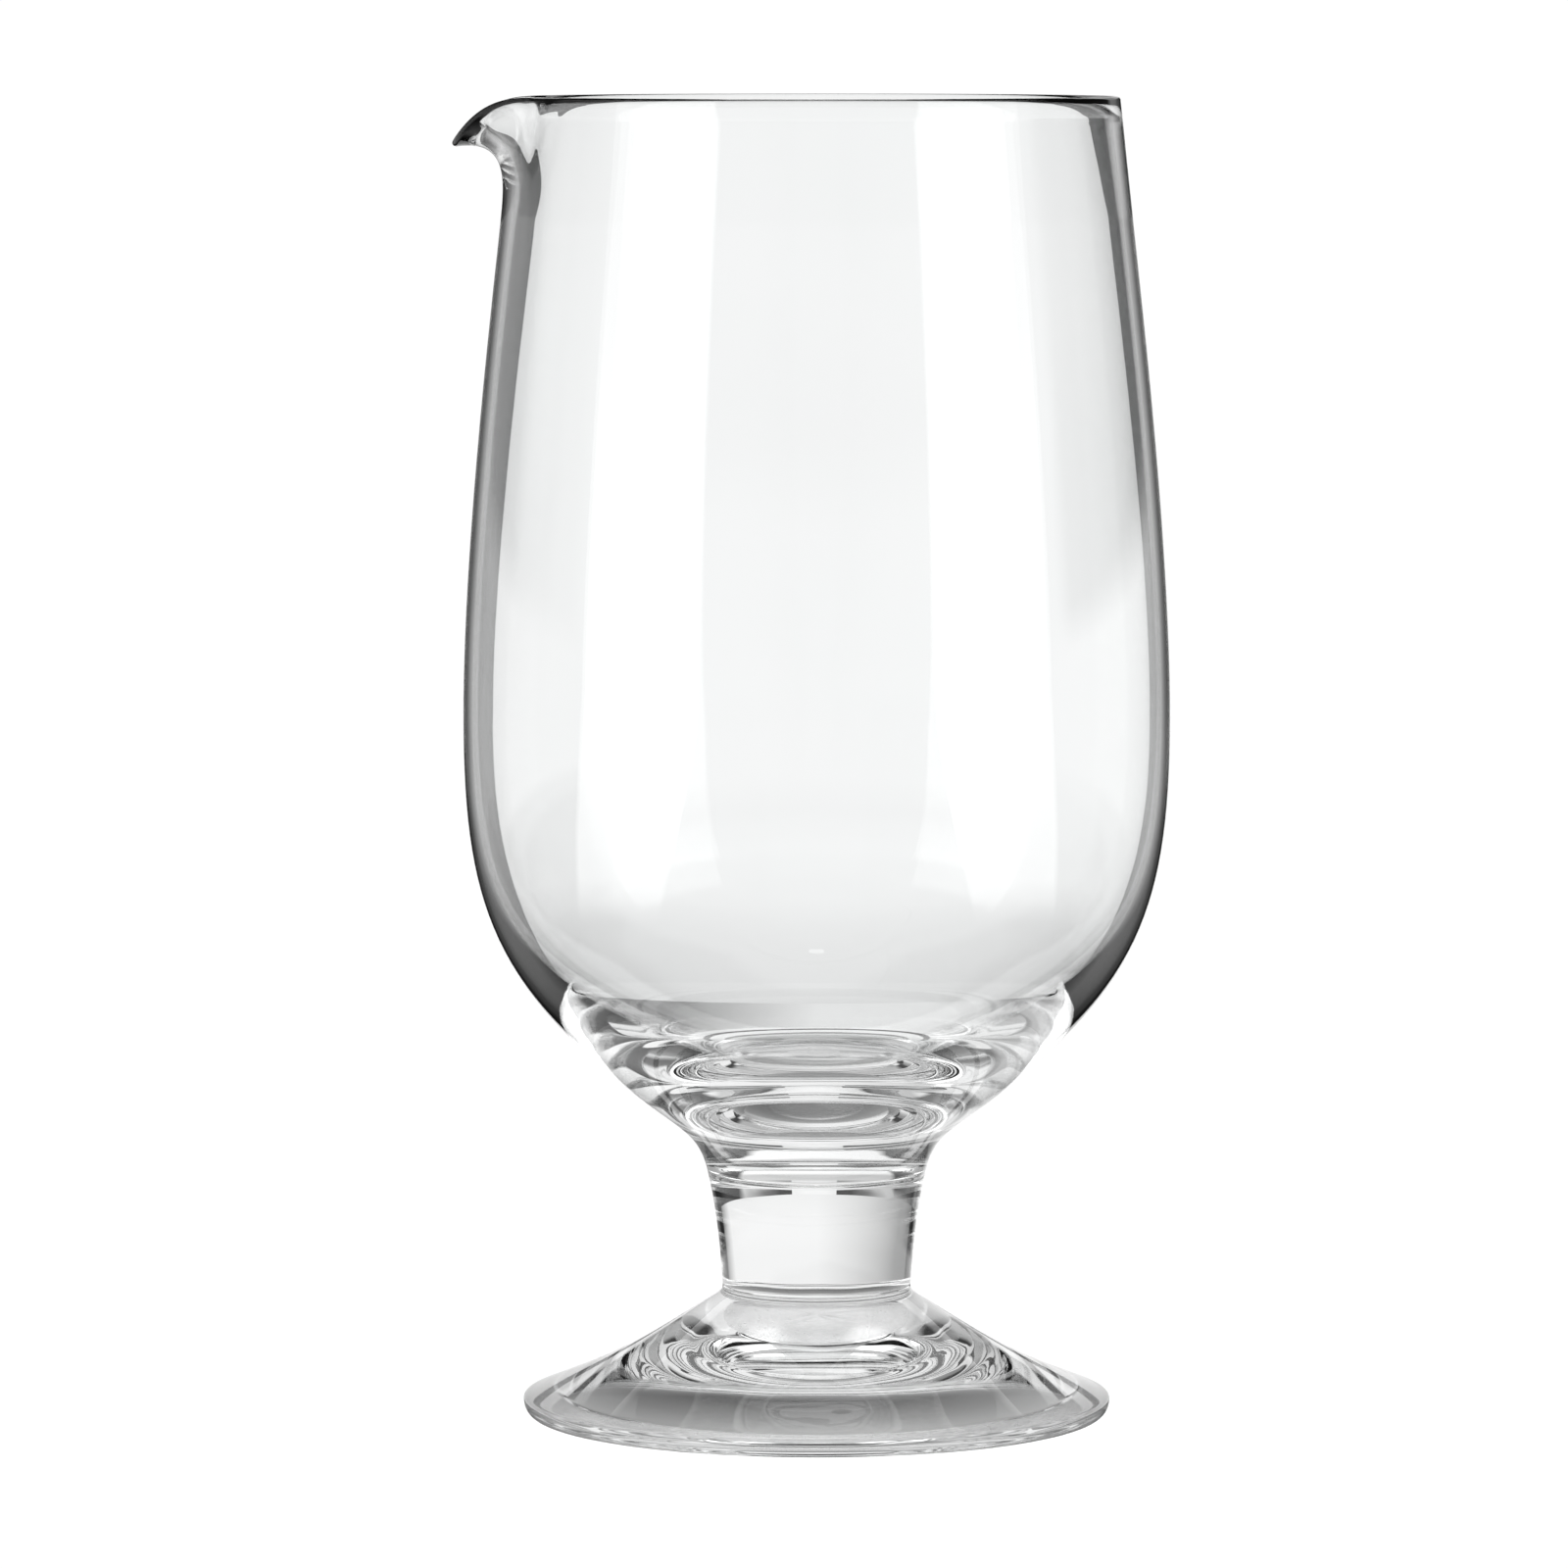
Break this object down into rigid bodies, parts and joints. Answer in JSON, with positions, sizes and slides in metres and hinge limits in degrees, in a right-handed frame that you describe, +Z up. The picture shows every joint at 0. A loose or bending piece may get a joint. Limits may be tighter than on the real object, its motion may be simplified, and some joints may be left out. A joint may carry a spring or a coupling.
{
  "type": "mixing glass",
  "caption": "Footed mixing glass in clear hand-blown glass: tall bellied bowl with a pulled pour lip, thick base, short solid stem and conical foot.",
  "frame": {"origin": "on the glass's axis, in the plane of the ring that the foot rests on", "axes": "+Z up the glass's axis, from the foot to the rim; the pour lip points along -X"},
  "size_m": [0.0949, 0.0936, 0.175],
  "materials": {
    "clear_glass": "clear, fire-polished, glossy"
  },
  "bodies": {
    "root": {"bowl": "clear_glass", "stem": "clear_glass", "foot": "clear_glass"}
  },
  "joints": []
}
